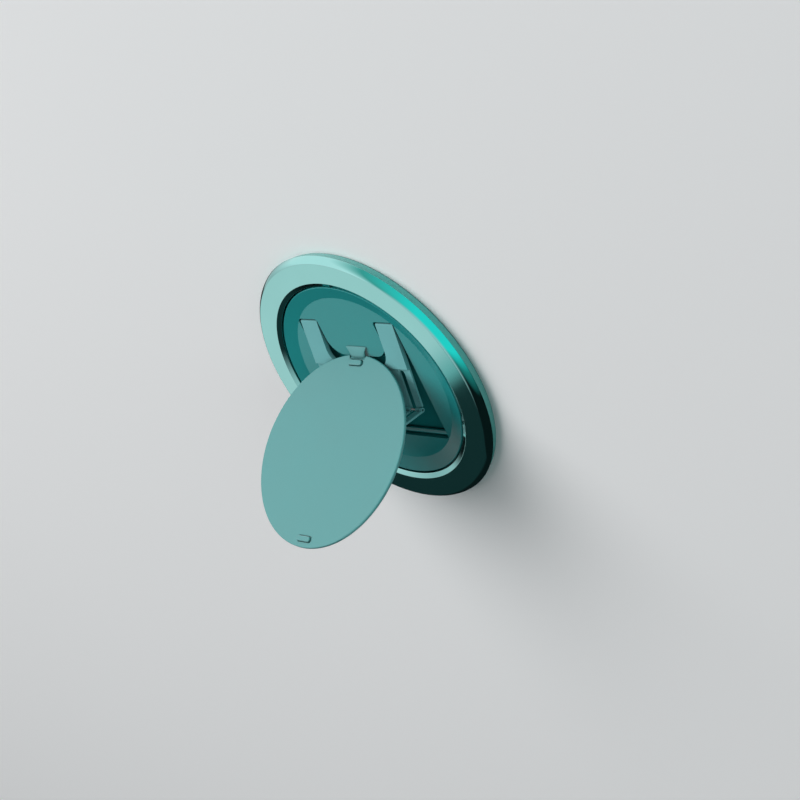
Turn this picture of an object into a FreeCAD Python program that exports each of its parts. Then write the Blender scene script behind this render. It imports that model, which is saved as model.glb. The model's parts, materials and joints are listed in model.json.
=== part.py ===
import FreeCAD, Part
import math
import os
import Sketcher

# A thin magnetic grip and stand for a telephone. A metal bezel ring sits on a round tray that
# holds magnets. Inside the ring a dish turns, and a folding linkage in the dish carries a disc
# that props the telephone up. The model is in millimetres and stands in its open position.
# The origin is on the ring's axis at the face that meets the telephone. +Z points out of the
# telephone's back, X runs along the hinge pins and +Y points to the arms' hinge.

DRIVING_SIZES = {
    # Bezel ring and tray
    "ring_height": 3.35,
    "crown_rise": 0.08,
    "base_radius": 28.75,
    "bevel_width": 1.0,
    "bevel_round": 2.3,
    "bezel_seat": 1.85,
    "bezel_wall": 0.75,
    "ring_width": 5.35,
    "lip_width": 0.9,
    "lip_drop": 0.45,
    "skirt_wall": 0.6,
    "pad_thickness": 0.35,
    "tray_inset": 0.45,
    "pad_inset": 0.25,
    "tray_floor": 0.4,
    "tray_rib": 0.3,
    "spigot_height": 0.55,
    "spigot_fit": 0.1,
    # Magnets
    "magnet_thickness": 1.2,
    "magnet_count": 16,
    "magnet_gap": 0.5,
    "magnet_fit": 0.1,
    "flux_thickness": 0.4,
    # Turning dish
    "glide_thickness": 0.1,
    "glide_fit": 0.1,
    "run_clearance": 0.03,
    "turn_clearance": 0.3,
    "dish_gap": 0.35,
    "dish_rim_height": 2.89,
    "dish_rim_flat": 0.15,
    "dish_wall_width": 3.02,
    "floor_height": 2.02,
    "flange_reach": 0.95,
    "flange_thickness": 0.43,
    "cover_reach": 1.27,
    "cover_thickness": 0.45,
    "pocket_ratio": 0.7,
    "pocket_round": 0.6,
    "slot_end_round": 0.6,
    "island_ratio": 0.293,
    "island_round": 3.6,
    "bar_radius": 0.5,
    "bar_inset": 1.2,
    "bar_root": 0.3,
    "screw_inset": 2.93,
    "screw_spread": 5.5,
    "screw_shank_radius": 0.5,
    "screw_head_radius": 1.0,
    "screw_head_thickness": 0.25,
    "screw_reach": 0.8,
    "screw_fit": 0.05,
    # Folding linkage
    "fold_height": 3.2,
    "hinge_ratio": 0.68,
    "hinge_height": 1.5,
    "elbow_ratio": 0.261,
    "link_ratio": 0.499,
    "arm_angle": 9.0,
    "link_angle": 82.4,
    "disc_angle": 55.2,
    "plate_thickness": 0.9,
    "lap_gap": 0.1,
    "span_ratio": 0.697,
    "arm_width": 4.8,
    "arm_side_gap": 0.42,
    "arm_end_gap": 0.4,
    "step_ratio": 0.511,
    "cross_width": 0.3,
    "cut_round": 3.0,
    "notch_margin": 0.5,
    "rail_width": 1.7,
    "slot_width": 1.4,
    "slot_margin": 0.5,
    "slot_round": 0.65,
    "link_bridge": 2.1,
    "link_corner_round": 1.0,
    "fold_clearance": 0.2,
    "knuckle_gap": 0.1,
    "centre_knuckle_half": 6.0,
    "tongue_half": 3.0,
    "ear_width": 1.5,
    "pin_radius": 0.22,
    "pin_clearance": 0.03,
    "pin_seat": 1.0,
    "pin_end_inset": 0.1,
    # Disc
    "disc_reach": 0.27,
    "disc_thickness": 0.9,
    "disc_front": 0.45,
    "disc_rim_wall": 0.7,
    "disc_fit": 0.1,
    "front_round": 0.2,
    "back_chamfer": 0.4,
    "back_thickness": 0.4,
    "pivot_depth": 1.65,
    "hook_inset": 1.7,
    "hook_length": 3.8,
    "hook_width": 1.1,
    "hook_round": 0.5,
    "hook_fit": 0.14,
    "hook_rise": 0.45,
    "tab_inset": 0.75,
    "tab_root_depth": 0.1,
    "tab_rise": 1.5,
    "tab_step_run": 0.5,
    "tab_step_rise": 0.6,
    "tab_root_half": 2.0,
    "tab_tip_half": 2.75,
    "tab_fit": 0.15,
    "sole_length": 1.9,
    "sole_clearance": 0.13,
    # Closing magnets and their keepers
    "closure_spread": 5.5,
    "closure_inset": 3.4,
    "closure_radius": 1.6,
    "closure_thickness": 0.8,
    "closure_fit": 0.05,
    "keeper_thickness": 0.3,
}

doc = FreeCAD.newDocument("PhoneGrip")
sheet = doc.addObject("Spreadsheet::Sheet", "Sizes")


class Size:
    """A length or angle that holds its value and the sheet expression that gives it."""

    def __init__(self, value, text):
        self.value = value
        self.text = text

    def combine(self, other, sign, value, swapped=False):
        words = [self.text, other.text if isinstance(other, Size) else repr(other)]
        if swapped:
            words.reverse()
        return Size(value, "(" + f" {sign} ".join(words) + ")")

    def __add__(self, other):
        return self.combine(other, "+", self.value + number(other))

    def __sub__(self, other):
        return self.combine(other, "-", self.value - number(other))

    def __rsub__(self, other):
        return self.combine(other, "-", number(other) - self.value, True)

    def __mul__(self, other):
        return self.combine(other, "*", self.value * number(other))

    def __truediv__(self, other):
        return self.combine(other, "/", self.value / number(other))

    def __neg__(self):
        return self.combine(-1, "*", -self.value)

    __radd__ = __add__
    __rmul__ = __mul__


def number(item):
    return item.value if isinstance(item, Size) else item


def sine(angle):
    return Size(math.sin(math.radians(angle.value)), f"sin({angle.text})")


def cosine(angle):
    return Size(math.cos(math.radians(angle.value)), f"cos({angle.text})")


class Sizes:
    """The driving sizes, each under its own name."""


def fill_sheet():
    sizes = Sizes()
    for row, (name, value) in enumerate(DRIVING_SIZES.items(), start=1):
        sheet.set(f"A{row}", name)
        sheet.set(f"B{row}", repr(value))
        sheet.setAlias(f"B{row}", name)
        setattr(sizes, name, Size(value, f"Sizes.{name}"))
    doc.recompute()
    return sizes


s = fill_sheet()
ZERO = Size(0.0, "0")

# Radii, from the outside in
bezel_top_radius = s.base_radius - s.bevel_width
tray_radius = s.base_radius - s.tray_inset
opening_radius = s.base_radius - s.ring_width
skirt_radius = opening_radius - s.lip_width
dish_radius = skirt_radius - s.dish_gap
floor_radius = dish_radius - s.dish_wall_width
cover_radius = floor_radius + s.cover_reach
disc_radius = floor_radius + s.disc_reach

# Levels of the base and the dish
tray_bottom = s.pad_thickness
tray_top = tray_bottom + s.tray_floor
dish_bottom = tray_top + s.glide_thickness + s.run_clearance
flange_top = dish_bottom + s.flange_thickness
skirt_bottom = flange_top + s.run_clearance + s.glide_thickness
lip_top = s.ring_height + s.crown_rise
tray_hole = cover_radius + s.turn_clearance
flange_radius = dish_radius + s.flange_reach
rib_inner = flange_radius + s.turn_clearance
rib_outer = rib_inner + s.tray_rib
bezel_inner = s.base_radius - s.bezel_wall
spigot_outer = bezel_inner - s.spigot_fit
spigot_inner = spigot_outer - s.tray_rib
magnet_inner = rib_outer + s.magnet_fit
magnet_outer = spigot_inner - s.magnet_fit
flux_bottom = tray_top + s.magnet_thickness
cover_bottom = dish_bottom - s.cover_thickness

# The linkage fills the dish floor
hinge_offset = floor_radius * s.hinge_ratio
elbow_offset = floor_radius * s.elbow_ratio
arm_length = hinge_offset + elbow_offset
link_length = floor_radius * s.link_ratio
arm_half_width = floor_radius * s.span_ratio
pocket_low = floor_radius * s.pocket_ratio
island_edge = floor_radius * s.island_ratio
step_reach = arm_length * s.step_ratio
cut_reach = step_reach - s.cross_width
notch_reach = step_reach + s.fold_clearance
slot_top = step_reach + s.slot_margin
panel_end = arm_length - notch_reach
link_slot_end = panel_end - s.link_bridge

# Places of screws, hooks, tab and closing magnets
screw_x = floor_radius - s.screw_inset
hook_offset = disc_radius - s.hook_inset
tab_root = disc_radius - s.tab_inset
closure_y = floor_radius - s.closure_inset

# Widths along the hinge pins
half_plate = s.plate_thickness / 2
half_lap = s.lap_gap / 2
leaf = half_plate - half_lap
arm_inner = arm_half_width - s.arm_width
rail_inner = arm_half_width - s.rail_width
slot_inner = rail_inner - s.slot_width
rail_middle = rail_inner + s.rail_width / 2
half_knuckle_gap = s.knuckle_gap / 2
ear_inner = s.tongue_half + s.knuckle_gap
ear_outer = ear_inner + s.ear_width
bore_radius = s.pin_radius + s.pin_clearance
knuckle_clear = half_plate + s.fold_clearance

# The open linkage, seen from the side: base hinge, elbow, disc pivot and disc centre
elbow_y = hinge_offset - arm_length * cosine(s.arm_angle)
elbow_z = s.hinge_height + arm_length * sine(s.arm_angle)
tip_rise = s.fold_height - s.pivot_depth - s.hinge_height
tip_y = elbow_y + link_length * cosine(s.link_angle) - tip_rise * sine(s.link_angle)
tip_z = elbow_z + link_length * sine(s.link_angle) + tip_rise * cosine(s.link_angle)
pivot_up = link_length - elbow_offset
disc_y = tip_y - pivot_up * cosine(s.disc_angle) + s.pivot_depth * sine(s.disc_angle)
disc_z = tip_z + pivot_up * sine(s.disc_angle) + s.pivot_depth * cosine(s.disc_angle)

# The tab's sole lies just over the dish floor when the disc is open
sole_level = disc_z - s.floor_height - s.sole_clearance
tab_reach = (sole_level + s.tab_rise * cosine(s.disc_angle)) / sine(s.disc_angle)
sole_back_up = tab_reach - s.sole_length * cosine(s.disc_angle)
sole_back_out = s.tab_rise - s.sole_length * sine(s.disc_angle)
back_radius = disc_radius - s.disc_rim_wall - s.disc_fit


class Corner:
    """A corner of an outline: rounded, or with a bulging edge to the next corner."""

    def __init__(self, x, y, rounded=None, bulge=None):
        self.x = x
        self.y = y
        self.rounded = rounded
        self.bulge = bulge


def direction(start, end):
    """The direction of an edge that runs along one of the sketch's axes."""
    across = end.x.value - start.x.value
    along = end.y.value - start.y.value
    return (across > 0) - (across < 0), (along > 0) - (along < 0)


def bulge_centre(start, end, radius):
    """The centre, left of the edge, of an arc that bulges to the right of it."""
    x = end.x.value - start.x.value
    y = end.y.value - start.y.value
    chord = math.hypot(x, y)
    depth = math.sqrt(radius.value**2 - chord**2 / 4)
    middle_x = (start.x.value + end.x.value) / 2
    middle_y = (start.y.value + end.y.value) / 2
    return middle_x - y / chord * depth, middle_y + x / chord * depth


def tie(sketch, kind, references, size):
    index = sketch.addConstraint(Sketcher.Constraint(kind, *references, size.value))
    sketch.setExpression(f"Constraints[{index}]", size.text)


def tie_point(sketch, item, place, x, y):
    tie(sketch, "DistanceX", (-1, 1, item, place), x)
    tie(sketch, "DistanceY", (-1, 1, item, place), y)


def outline(sketch, corners):
    """Draws a closed outline, anticlockwise, with each vertex tied to the sheet."""
    points = []
    arcs = {}
    for index, corner in enumerate(corners):
        after = corners[(index + 1) % len(corners)]
        if corner.rounded is None:
            if corner.bulge is not None:
                centre = bulge_centre(corner, after, corner.bulge)
                arcs[len(points)] = (centre, corner.bulge, 1)
            points.append(corner)
            continue
        in_x, in_y = direction(corners[index - 1], corner)
        out_x, out_y = direction(corner, after)
        start = Corner(corner.x - corner.rounded * in_x, corner.y - corner.rounded * in_y)
        end = Corner(corner.x + corner.rounded * out_x, corner.y + corner.rounded * out_y)
        radius = corner.rounded.value
        centre = (start.x.value + radius * out_x, start.y.value + radius * out_y)
        arcs[len(points)] = (centre, corner.rounded, in_x * out_y - in_y * out_x)
        points.extend([start, end])

    first = sketch.GeometryCount
    ends = []
    for index, point in enumerate(points):
        after = points[(index + 1) % len(points)]
        start = FreeCAD.Vector(point.x.value, point.y.value, 0)
        end = FreeCAD.Vector(after.x.value, after.y.value, 0)
        if index not in arcs:
            sketch.addGeometry(Part.LineSegment(start, end))
            ends.append((1, 2))
            continue
        (centre_x, centre_y), radius, turn = arcs[index]
        from_angle = math.atan2(start.y - centre_y, start.x - centre_x)
        to_angle = math.atan2(end.y - centre_y, end.x - centre_x)
        middle = FreeCAD.Vector(centre_x, centre_y, 0)
        circle = Part.Circle(middle, FreeCAD.Vector(0, 0, 1), radius.value)
        if turn < 0:
            from_angle, to_angle = to_angle, from_angle
        sketch.addGeometry(Part.ArcOfCircle(circle, from_angle, to_angle))
        ends.append((1, 2) if turn > 0 else (2, 1))

    for index, point in enumerate(points):
        item = first + index
        after = (index + 1) % len(points)
        joint = (item, ends[index][1], first + after, ends[after][0])
        sketch.addConstraint(Sketcher.Constraint("Coincident", *joint))
        tie_point(sketch, item, ends[index][0], point.x, point.y)
        if index in arcs:
            tie(sketch, "Radius", (item,), arcs[index][1])


def rectangle(sketch, left, right, low, high, rounded_low=None, rounded_high=None):
    outline(
        sketch,
        [
            Corner(left, low, rounded_low),
            Corner(right, low, rounded_low),
            Corner(right, high, rounded_high),
            Corner(left, high, rounded_high),
        ],
    )


def mirrored_rectangles(sketch, inner, outer, low, high, rounded_low=None, rounded_high=None):
    rectangle(sketch, inner, outer, low, high, rounded_low, rounded_high)
    rectangle(sketch, -outer, -inner, low, high, rounded_low, rounded_high)


def circle(sketch, x, y, radius):
    middle = FreeCAD.Vector(x.value, y.value, 0)
    item = sketch.addGeometry(Part.Circle(middle, FreeCAD.Vector(0, 0, 1), radius.value))
    tie_point(sketch, item, 3, x, y)
    tie(sketch, "Radius", (item,), radius)


def new_body(name):
    body = doc.addObject("PartDesign::Body", name)
    body.Label = name
    return body


def new_sketch(body, role, level=ZERO):
    """A sketch on one of the body's own planes, moved along that plane's normal to a level."""
    sketch = body.newObject("Sketcher::SketchObject", body.Name + "_sketch")
    plane = next(item for item in body.Origin.OriginFeatures if item.Role == role)
    sketch.AttachmentSupport = [(plane, "")]
    sketch.MapMode = "FlatFace"
    sketch.AttachmentOffset = FreeCAD.Placement(
        FreeCAD.Vector(0, 0, level.value), FreeCAD.Rotation()
    )
    sketch.setExpression("AttachmentOffset.Base.z", level.text)
    return sketch


def pad(body, sketch, length):
    feature = body.newObject("PartDesign::Pad", body.Name + "_pad")
    feature.Profile = sketch
    feature.Length = length.value
    feature.setExpression("Length", length.text)
    return feature


def pocket(body, sketch, length, upward=False):
    """Cuts from the sketch against its normal, or along it when upward."""
    feature = body.newObject("PartDesign::Pocket", body.Name + "_pocket")
    feature.Profile = sketch
    feature.Length = length.value
    feature.setExpression("Length", length.text)
    feature.Reversed = upward
    return feature


def revolve(body, corners):
    """Turns a profile of radius and height about the Z axis."""
    sketch = new_sketch(body, "XZ_Plane")
    outline(sketch, corners)
    feature = body.newObject("PartDesign::Revolution", body.Name + "_turned")
    feature.Profile = sketch
    feature.ReferenceAxis = (sketch, ["V_Axis"])
    feature.Angle = 360
    return feature


def flat_ring(name, inner, outer, bottom, thickness):
    body = new_body(name)
    sketch = new_sketch(body, "XY_Plane", bottom)
    circle(sketch, ZERO, ZERO, outer)
    circle(sketch, ZERO, ZERO, inner)
    pad(body, sketch, thickness)
    return body


def barrel(body, half_length, y, z):
    """A hinge barrel along X, as thick as the linkage's plates."""
    sketch = new_sketch(body, "YZ_Plane", -half_length)
    circle(sketch, y, z, half_plate)
    pad(body, sketch, half_length * 2)


def bores(body, half_length, centres):
    """Pin holes along X, right through the body."""
    sketch = new_sketch(body, "YZ_Plane", half_length + s.pin_seat)
    for y, z in centres:
        circle(sketch, y, z, bore_radius)
    pocket(body, sketch, (half_length + s.pin_seat) * 2)


def place(item, y, z, angle):
    """Turns a piece of the linkage about X by an angle and puts its origin at y, z."""
    turn = FreeCAD.Rotation(FreeCAD.Vector(1, 0, 0), angle.value)
    item.Placement = FreeCAD.Placement(FreeCAD.Vector(0, y.value, z.value), turn)
    item.setExpression("Placement.Base.y", y.text)
    item.setExpression("Placement.Base.z", z.text)
    item.setExpression("Placement.Rotation.Angle", angle.text)


def pin(name, left, right, y, z):
    """A straight hinge pin along X."""
    item = doc.addObject("Part::Cylinder", name)
    item.Label = name
    length = right - left
    item.Radius = s.pin_radius.value
    item.Height = length.value
    turn = FreeCAD.Rotation(FreeCAD.Vector(0, 1, 0), 90)
    item.Placement = FreeCAD.Placement(FreeCAD.Vector(left.value, y.value, z.value), turn)
    item.setExpression("Radius", s.pin_radius.text)
    item.setExpression("Height", length.text)
    item.setExpression("Placement.Base.x", left.text)
    item.setExpression("Placement.Base.y", y.text)
    item.setExpression("Placement.Base.z", z.text)
    return item


def make_grip_pad():
    """The soft ring that meets the telephone."""
    outer = tray_radius - s.pad_inset
    return flat_ring("grip_pad", tray_hole + s.pad_inset, outer, ZERO, s.pad_thickness)


def make_base_tray():
    """The moulded tray: magnet channel, spigot for the bezel and hole for the dish cover."""
    body = new_body("base_tray")
    spigot_top = s.bezel_seat + s.spigot_height
    revolve(
        body,
        [
            Corner(tray_hole, tray_bottom),
            Corner(tray_radius, tray_bottom),
            Corner(tray_radius, s.bezel_seat),
            Corner(spigot_outer, s.bezel_seat),
            Corner(spigot_outer, spigot_top),
            Corner(spigot_inner, spigot_top),
            Corner(spigot_inner, tray_top),
            Corner(rib_outer, tray_top),
            Corner(rib_outer, flange_top),
            Corner(rib_inner, flange_top),
            Corner(rib_inner, tray_top),
            Corner(tray_hole, tray_top),
        ],
    )
    return body


def make_bezel_ring():
    """The metal ring: bulging bevel, slightly conical top, sloping lip and inner skirt."""
    body = new_body("bezel_ring")
    underside = s.ring_height - s.bezel_wall
    skirt_outer = skirt_radius + s.skirt_wall
    revolve(
        body,
        [
            Corner(skirt_radius, skirt_bottom),
            Corner(skirt_outer, skirt_bottom),
            Corner(skirt_outer, underside),
            Corner(bezel_inner, underside),
            Corner(bezel_inner, s.bezel_seat),
            Corner(s.base_radius, s.bezel_seat, bulge=s.bevel_round),
            Corner(bezel_top_radius, s.ring_height),
            Corner(opening_radius, lip_top),
            Corner(skirt_radius, lip_top - s.lip_drop),
        ],
    )
    return body


def make_magnet_segments():
    """Arc magnets in a ring, each one a sector between two radial faces."""
    item = doc.addObject("Part::Feature", "magnet_segments")
    item.Label = "magnet_segments"
    count = int(s.magnet_count.value)
    height = s.magnet_thickness.value
    gap = math.degrees(s.magnet_gap.value / magnet_inner.value)
    span = 360 / count - gap
    up = FreeCAD.Vector(0, 0, 1)
    segments = []
    for index in range(count):
        outer = Part.makeCylinder(magnet_outer.value, height, FreeCAD.Vector(), up, span)
        inner = Part.makeCylinder(magnet_inner.value, height, FreeCAD.Vector(), up, span)
        segment = outer.cut(inner)
        segment.rotate(FreeCAD.Vector(), up, index * 360 / count + gap / 2)
        segments.append(segment)
    item.Shape = Part.makeCompound(segments)
    item.Placement = FreeCAD.Placement(
        FreeCAD.Vector(0, 0, tray_top.value), FreeCAD.Rotation()
    )
    return item


def make_glide_rings():
    """Slippery rings below the dish's flange and between the flange and the bezel's skirt."""
    lower = flat_ring(
        "lower_glide_ring",
        tray_hole + s.glide_fit,
        rib_inner - s.glide_fit,
        tray_top,
        s.glide_thickness,
    )
    upper = flat_ring(
        "upper_glide_ring",
        skirt_radius,
        skirt_radius + s.skirt_wall,
        flange_top + s.run_clearance,
        s.glide_thickness,
    )
    return [lower, upper]


def screw_places():
    return [
        (x, y) for x in (screw_x, -screw_x) for y in (s.screw_spread, -s.screw_spread)
    ]


def closure_places(up):
    return [(s.closure_spread, up), (-s.closure_spread, up)]


def pin_channel_ends():
    """Where an arm pin starts and ends along X, on the right side."""
    slot_left = arm_inner - s.arm_side_gap
    slot_right = arm_half_width + s.arm_side_gap
    return slot_left, slot_right, slot_left - s.pin_seat, slot_right + s.pin_seat


def make_dish():
    """The turning dish: sloping wall, flat floor, and a window that the linkage folds into."""
    body = new_body("dish")
    revolve(
        body,
        [
            Corner(ZERO, dish_bottom),
            Corner(flange_radius, dish_bottom),
            Corner(flange_radius, flange_top),
            Corner(dish_radius, flange_top),
            Corner(dish_radius, s.dish_rim_height - s.dish_rim_flat),
            Corner(dish_radius - s.dish_rim_flat, s.dish_rim_height),
            Corner(floor_radius, s.floor_height),
            Corner(ZERO, s.floor_height),
        ],
    )

    slot_left, slot_right, pin_left, pin_right = pin_channel_ends()
    slot_end = hinge_offset + half_plate + s.arm_end_gap
    window = new_sketch(body, "XY_Plane", s.floor_height)
    outline(
        window,
        [
            Corner(-slot_right, -pocket_low, s.pocket_round),
            Corner(slot_right, -pocket_low, s.pocket_round),
            Corner(slot_right, slot_end, s.slot_end_round),
            Corner(slot_left, slot_end, s.slot_end_round),
            Corner(slot_left, island_edge, s.island_round),
            Corner(-slot_left, island_edge, s.island_round),
            Corner(-slot_left, slot_end, s.slot_end_round),
            Corner(-slot_right, slot_end, s.slot_end_round),
        ],
    )
    pocket(body, window, s.floor_height - dish_bottom)

    # A rounded bar across the window, near its low edge
    bar = new_sketch(body, "YZ_Plane", -slot_right - s.bar_root)
    circle(bar, s.bar_inset - pocket_low, s.hinge_height, s.bar_radius)
    pad(body, bar, (slot_right + s.bar_root) * 2)

    channels = new_sketch(body, "XY_Plane", dish_bottom)
    mirrored_rectangles(
        channels,
        pin_left,
        pin_right,
        hinge_offset - bore_radius,
        hinge_offset + bore_radius,
    )
    pocket(body, channels, s.hinge_height + bore_radius - dish_bottom, upward=True)

    screw_holes = new_sketch(body, "XY_Plane", dish_bottom)
    for x, y in screw_places():
        circle(screw_holes, x, y, s.screw_shank_radius + s.screw_fit)
    pocket(body, screw_holes, s.screw_reach + s.screw_fit, upward=True)

    magnet_holes = new_sketch(body, "XY_Plane", dish_bottom)
    for x, y in closure_places(-closure_y):
        circle(magnet_holes, x, y, s.closure_radius + s.closure_fit)
    pocket(body, magnet_holes, s.closure_thickness + s.closure_fit, upward=True)
    return body


def make_dish_cover():
    """The plate under the dish: it closes the window and its ribs hold the arm pins up."""
    body = new_body("dish_cover")
    plate = new_sketch(body, "XY_Plane", cover_bottom)
    circle(plate, ZERO, ZERO, cover_radius)
    pad(body, plate, s.cover_thickness)

    slot_left, slot_right, pin_left, pin_right = pin_channel_ends()
    low = hinge_offset - s.pin_radius
    high = hinge_offset + s.pin_radius
    ribs = new_sketch(body, "XY_Plane", dish_bottom - s.cover_thickness / 2)
    mirrored_rectangles(ribs, pin_left + s.pin_clearance, slot_left - s.pin_clearance, low, high)
    mirrored_rectangles(ribs, slot_right + s.pin_clearance, pin_right - s.pin_clearance, low, high)
    rib_top = s.hinge_height - s.pin_radius
    pad(body, ribs, rib_top - dish_bottom + s.cover_thickness / 2)

    shanks = new_sketch(body, "XY_Plane", dish_bottom)
    heads = new_sketch(body, "XY_Plane", cover_bottom)
    for x, y in screw_places():
        circle(shanks, x, y, s.screw_shank_radius + s.screw_fit)
        circle(heads, x, y, s.screw_head_radius + s.screw_fit)
    pocket(body, shanks, s.cover_thickness)
    pocket(body, heads, s.screw_head_thickness, upward=True)
    return body


def make_cover_screws():
    """The small screws that hold the cover under the dish, heads down."""
    body = new_body("cover_screws")
    heads = new_sketch(body, "XY_Plane", cover_bottom)
    shanks = new_sketch(body, "XY_Plane", cover_bottom)
    for x, y in screw_places():
        circle(heads, x, y, s.screw_head_radius)
        circle(shanks, x, y, s.screw_shank_radius)
    pad(body, heads, s.screw_head_thickness)
    pad(body, shanks, s.cover_thickness + s.screw_reach)
    return body


def make_closure_magnets():
    """Round magnets under the dish floor that hold the folded disc shut."""
    body = new_body("closure_magnets")
    sketch = new_sketch(body, "XY_Plane", dish_bottom)
    for x, y in closure_places(-closure_y):
        circle(sketch, x, y, s.closure_radius)
    pad(body, sketch, s.closure_thickness)
    return body


def make_arm_pins():
    slot_left, slot_right, pin_left, pin_right = pin_channel_ends()
    start = pin_left + s.pin_end_inset
    end = pin_right - s.pin_end_inset
    right = pin("arm_pin_right", start, end, hinge_offset, s.hinge_height)
    left = pin("arm_pin_left", -end, -start, hinge_offset, s.hinge_height)
    return [right, left]


def make_arm_frame():
    """The first link: two thick arms, then a thin leaf with slotted rails down to the elbow.

    Its own frame has the base hinge as its X axis, and the folded frame points along -Y.
    """
    body = new_body("arm_frame")
    wide = arm_half_width
    arms = new_sketch(body, "XY_Plane", -half_plate)
    outline(
        arms,
        [
            Corner(-wide, -step_reach),
            Corner(wide, -step_reach),
            Corner(wide, ZERO),
            Corner(arm_inner, ZERO),
            Corner(arm_inner, -cut_reach, s.cut_round),
            Corner(-arm_inner, -cut_reach, s.cut_round),
            Corner(-arm_inner, ZERO),
            Corner(-wide, ZERO),
        ],
    )
    pad(body, arms, s.plate_thickness)

    lower_leaf = new_sketch(body, "XY_Plane", -half_plate)
    leaf_top = (cut_reach + step_reach) / 2
    rectangle(lower_leaf, -wide, wide, -arm_length, -leaf_top)
    pad(body, lower_leaf, leaf)

    barrel(body, wide, ZERO, ZERO)
    barrel(body, wide, -arm_length, ZERO)

    # Openings: between the arms, for the disc's ears, the rails' slots and the link's knuckles
    gaps = new_sketch(body, "XY_Plane", s.plate_thickness)
    rectangle(gaps, -arm_inner, arm_inner, -s.plate_thickness, s.plate_thickness)
    notch_half = ear_outer + s.notch_margin
    rectangle(gaps, -notch_half, notch_half, -notch_reach, s.cut_round - cut_reach)
    past_elbow = -arm_length - s.plate_thickness
    mirrored_rectangles(
        gaps, slot_inner, rail_inner, past_elbow, -slot_top, rounded_high=s.slot_round
    )
    knuckle_top = knuckle_clear - arm_length
    centre_half = s.centre_knuckle_half + half_knuckle_gap
    rectangle(gaps, -centre_half, centre_half, past_elbow, knuckle_top)
    beyond = wide + s.pin_seat
    mirrored_rectangles(gaps, rail_middle - half_knuckle_gap, beyond, past_elbow, knuckle_top)
    pocket(body, gaps, s.plate_thickness * 2)

    bores(body, wide, [(ZERO, ZERO), (-arm_length, ZERO)])
    place(body, hinge_offset, s.hinge_height, -s.arm_angle)
    return body


def make_lift_link():
    """The second link: a thin slotted leaf that folds back over the arm frame's leaf.

    Its own frame has the elbow as its X axis, and the folded link points along +Y.
    """
    body = new_body("lift_link")
    wide = arm_half_width
    panel = new_sketch(body, "XY_Plane", half_lap)
    outline(
        panel,
        [
            Corner(-wide, ZERO),
            Corner(wide, ZERO),
            Corner(wide, panel_end, s.link_corner_round),
            Corner(s.tongue_half, panel_end),
            Corner(s.tongue_half, link_length),
            Corner(-s.tongue_half, link_length),
            Corner(-s.tongue_half, panel_end),
            Corner(-wide, panel_end, s.link_corner_round),
        ],
    )
    pad(body, panel, leaf)
    barrel(body, wide, ZERO, ZERO)
    barrel(body, s.tongue_half, link_length, tip_rise)

    # Openings: the rails' slots, then room for the arm frame's knuckles
    before_elbow = -s.plate_thickness
    slots = new_sketch(body, "XY_Plane", s.plate_thickness)
    mirrored_rectangles(
        slots, slot_inner, rail_inner, before_elbow, link_slot_end, rounded_high=s.slot_round
    )
    pocket(body, slots, s.plate_thickness * 2)
    gaps = new_sketch(body, "XY_Plane", s.plate_thickness)
    mirrored_rectangles(
        gaps,
        s.centre_knuckle_half - half_knuckle_gap,
        rail_middle + half_knuckle_gap,
        before_elbow,
        knuckle_clear,
    )
    pocket(body, gaps, s.plate_thickness * 2)

    bores(body, wide, [(ZERO, ZERO), (link_length, tip_rise)])
    place(body, elbow_y, elbow_z, s.link_angle)
    return body


def make_disc_cover():
    """The disc's front shell: a thin plate with a rim, hook slots and a notch for the tab.

    The disc's pieces share a frame with its origin at the middle of the front face.
    """
    body = new_body("disc_cover")
    rim_inner = disc_radius - s.disc_rim_wall
    revolve(
        body,
        [
            Corner(ZERO, -s.disc_front),
            Corner(rim_inner, -s.disc_front),
            Corner(rim_inner, -s.disc_thickness),
            Corner(disc_radius - s.back_chamfer, -s.disc_thickness),
            Corner(disc_radius, s.back_chamfer - s.disc_thickness),
            Corner(disc_radius, ZERO, s.front_round),
            Corner(ZERO, ZERO),
        ],
    )

    openings = new_sketch(body, "XY_Plane", s.tab_rise)
    slot_half = s.hook_length / 2 + s.hook_fit
    slot_rise = s.hook_width / 2 + s.hook_fit
    for up in (hook_offset, -hook_offset):
        rectangle(
            openings,
            -slot_half,
            slot_half,
            up - slot_rise,
            up + slot_rise,
            s.hook_round + s.hook_fit,
            s.hook_round + s.hook_fit,
        )
    flare = (s.tab_tip_half - s.tab_root_half) / (tab_reach - tab_root)
    notch_low = tab_root - s.tab_fit
    notch_high = disc_radius + s.tab_fit
    narrow = s.tab_root_half + s.tab_fit
    broad = narrow + flare * (notch_high - notch_low)
    outline(
        openings,
        [
            Corner(-narrow, notch_low),
            Corner(narrow, notch_low),
            Corner(broad, notch_high),
            Corner(-broad, notch_high),
        ],
    )
    pocket(body, openings, s.tab_rise + s.disc_thickness)
    place(body, disc_y, disc_z, -s.disc_angle)
    return body


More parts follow.
